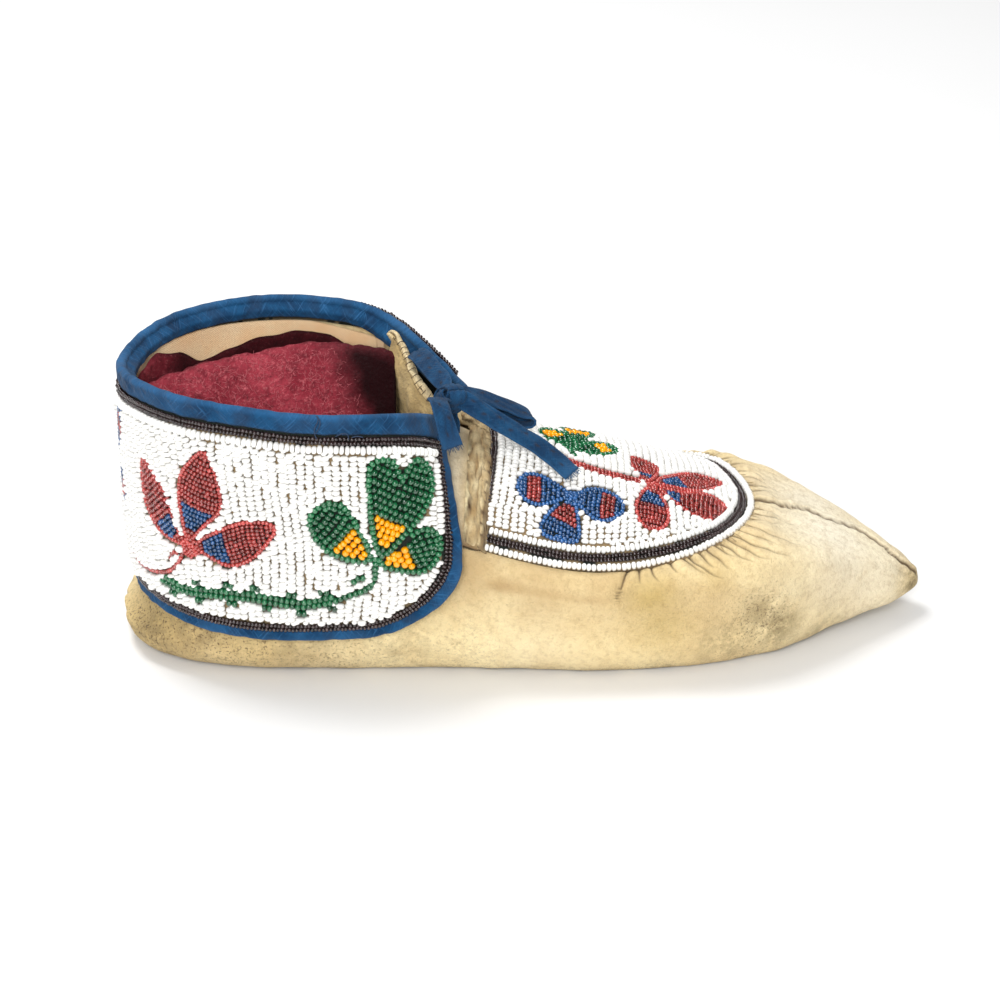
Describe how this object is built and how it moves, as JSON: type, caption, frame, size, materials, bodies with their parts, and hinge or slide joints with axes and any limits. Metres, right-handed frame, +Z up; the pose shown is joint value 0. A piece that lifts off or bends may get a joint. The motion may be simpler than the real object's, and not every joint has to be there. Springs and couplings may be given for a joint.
{
  "type": "beaded moccasin",
  "caption": "Soft-soled hide moccasin with a pointed gathered toe, a floral beaded instep and hanging ankle cuff, cotton tape edges and a ribbon bow.",
  "frame": {"origin": "middle of the shoe's footprint, on the ground", "axes": "+X to the toe, +Z up, -Y to the side whose cuff flap carries the long end of the bow"},
  "size_m": [0.2412, 0.0978, 0.0894],
  "materials": {
    "hide": "napped brain-tanned hide, soiled",
    "beadwork": "cloth covered with glass seed beads",
    "cotton_tape": "faded woven cotton"
  },
  "bodies": {
    "root": {"hide_body": "hide", "ankle": "hide", "vamp": "beadwork", "cuff": "beadwork", "rim_binding": "cotton_tape", "hem_binding": "cotton_tape", "tie_knot": "cotton_tape", "far_tie": "cotton_tape", "near_tie": "cotton_tape", "bow_loop": "cotton_tape", "long_end": "cotton_tape", "short_end": "cotton_tape"}
  },
  "joints": []
}
